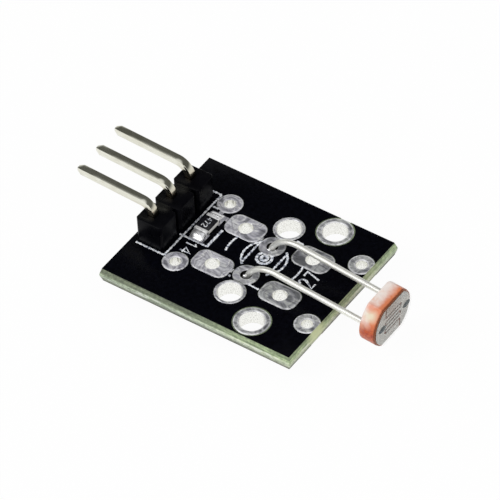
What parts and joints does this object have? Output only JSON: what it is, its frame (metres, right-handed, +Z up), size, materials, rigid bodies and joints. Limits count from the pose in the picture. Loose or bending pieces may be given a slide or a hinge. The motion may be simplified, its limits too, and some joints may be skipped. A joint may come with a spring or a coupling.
{
  "type": "light sensor module",
  "caption": "Small circuit board with a bent-pin header, a chip resistor and a light-dependent resistor on two wire leads that looks out past the board's end.",
  "frame": {"origin": "middle of the board's underside", "axes": "+X along the board towards the light-dependent resistor, +Y across it, +Z up out of the board's face"},
  "size_m": [0.0288, 0.0152, 0.0072],
  "materials": {
    "laminate": "cut glass-fibre laminate",
    "solder_mask": "smooth black lacquer",
    "tin": "levelled tin on copper",
    "solder": "bright solder",
    "header_plastic": "moulded, half gloss",
    "pin_plating": "bright tin plating on brass",
    "chip_ceramic": "white, matt",
    "overcoat": "black glaze",
    "sensor_ceramic": "white ceramic stained by the coating",
    "sensor_film": "red-brown light-sensitive film",
    "electrode": "evaporated metal",
    "conductive_paste": "grey paste",
    "lacquer": "clear, glossy",
    "lead_wire": "bright tinned steel wire"
  },
  "bodies": {
    "root": {"circuit_board": "laminate", "header_eyelet_far": "tin", "header_eyelet_middle": "tin", "header_eyelet_near": "tin", "header_housing": "header_plastic", "header_pin_far": "pin_plating", "header_pin_middle": "pin_plating", "header_pin_near": "pin_plating", "header_solder_far": "solder", "header_solder_middle": "solder", "header_solder_near": "solder", "lead_eyelet_far": "tin", "lead_eyelet_near": "tin", "lead_solder_far": "solder", "lead_solder_near": "solder", "middle_eyelet_far": "tin", "middle_eyelet_near": "tin", "mounting_eyelet_far": "tin", "mounting_eyelet_near": "tin", "oblong_eyelet_left_far": "tin", "oblong_eyelet_left_near": "tin", "oblong_eyelet_right_far": "tin", "oblong_eyelet_right_near": "tin", "resistor_body": "chip_ceramic", "resistor_land_far": "tin", "resistor_land_near": "tin", "resistor_overcoat": "overcoat", "resistor_solder_far": "solder", "resistor_solder_near": "solder", "resistor_terminal_far": "tin", "resistor_terminal_near": "tin", "sensor_base": "sensor_ceramic", "sensor_dab_far": "conductive_paste", "sensor_dab_near": "conductive_paste", "sensor_electrode_far": "electrode", "sensor_electrode_near": "electrode", "sensor_film": "sensor_film", "sensor_lacquer": "lacquer", "sensor_lead_far": "lead_wire", "sensor_lead_near": "lead_wire", "small_eyelet_left_far": "tin", "small_eyelet_left_near": "tin", "small_eyelet_right_far": "tin", "small_eyelet_right_near": "tin", "solder_mask_bottom": "solder_mask", "solder_mask_top": "solder_mask", "track_lead_far": "tin", "track_lead_near": "tin", "track_oblong": "tin", "track_small": "tin"}
  },
  "joints": []
}
